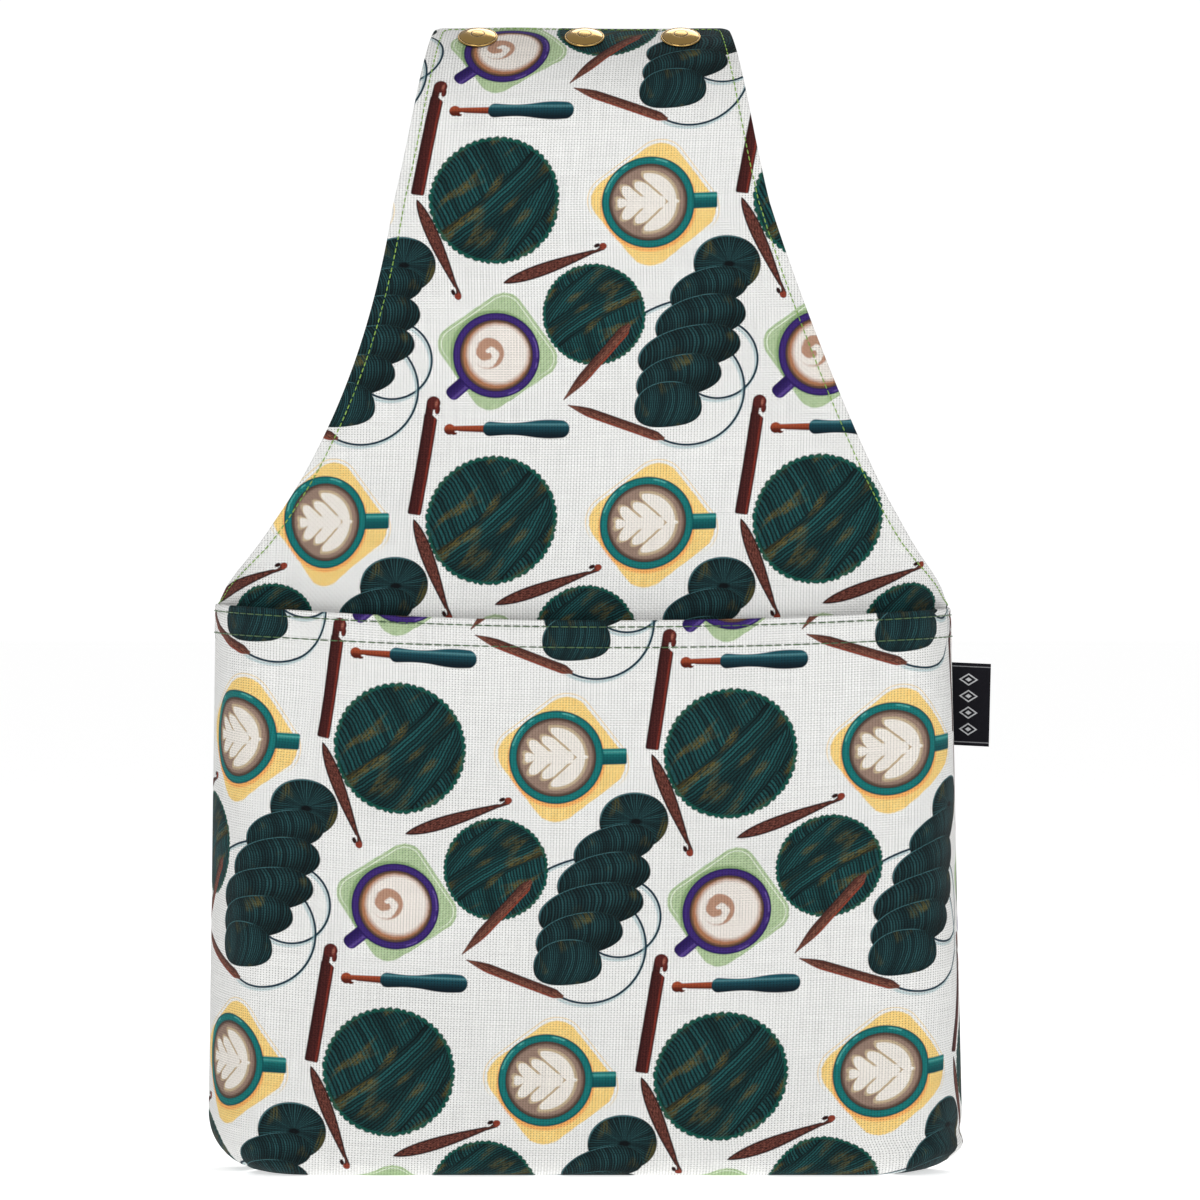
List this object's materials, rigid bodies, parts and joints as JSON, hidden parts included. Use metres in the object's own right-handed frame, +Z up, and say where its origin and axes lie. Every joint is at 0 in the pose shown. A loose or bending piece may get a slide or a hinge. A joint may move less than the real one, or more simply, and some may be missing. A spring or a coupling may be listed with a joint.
{
  "type": "knitting project bag",
  "caption": "Lined canvas project bag with a front pocket, arm openings and a wide wrist loop whose two straps lap and close with snaps.",
  "frame": {"origin": "the middle of the base's underside, where the bag stands", "axes": "+Z up, the front with the pocket faces -Y, +X is to the right seen from the front"},
  "size_m": [0.3011, 0.0786, 0.44],
  "materials": {
    "printed_canvas": "matte woven cotton canvas with an all-over print",
    "lining_cotton": "matte plain-woven cotton",
    "green_thread": "satin sewing thread",
    "antique_brass": "aged, softly polished",
    "spring_steel": "bright wire",
    "woven_label": "fine satin-woven ribbon"
  },
  "bodies": {
    "bag": {"front_panel": "printed_canvas", "front_lining": "lining_cotton", "back_panel": "printed_canvas", "back_lining": "lining_cotton", "front_pocket": "printed_canvas", "pocket_hem_stitch_upper": "green_thread", "pocket_hem_stitch_lower": "green_thread", "front_neck_stitch_left": "green_thread", "front_neck_stitch_right": "green_thread", "back_neck_stitch_left": "green_thread", "back_neck_stitch_right": "green_thread"},
    "front_strap": {"front_strap": "printed_canvas", "front_strap_lining": "lining_cotton", "front_strap_stitch": "green_thread", "snap_cap_left": "antique_brass", "snap_cap_middle": "antique_brass", "snap_cap_right": "antique_brass", "snap_socket_left": "antique_brass", "snap_socket_middle": "antique_brass", "snap_socket_right": "antique_brass", "snap_spring_left": "spring_steel", "snap_spring_middle": "spring_steel", "snap_spring_right": "spring_steel"},
    "back_strap": {"back_strap": "printed_canvas", "back_strap_lining": "lining_cotton", "back_strap_stitch": "green_thread", "snap_stud_left": "antique_brass", "snap_stud_middle": "antique_brass", "snap_stud_right": "antique_brass", "snap_eyelet_left": "antique_brass", "snap_eyelet_middle": "antique_brass", "snap_eyelet_right": "antique_brass"},
    "label": {"side_label": "woven_label"}
  },
  "joints": [
    {"name": "front_strap_opens", "type": "hinge", "parent": "bag", "child": "front_strap", "pos_m": [0, -0.02655, 0.42336], "axis": [1, 0, 0], "range_deg": [0, 150]},
    {"name": "back_strap_drops", "type": "hinge", "parent": "bag", "child": "back_strap", "pos_m": [0, 0.00272, 0.4334], "axis": [1, 0, 0], "range_deg": [0, 65]},
    {"name": "label_bends", "type": "hinge", "parent": "bag", "child": "label", "pos_m": [0.14286, 0, 0.179], "axis": [0, 0, 1], "range_deg": [-75, 75], "stiffness_Nm_per_rad": 0.0002}
  ]
}
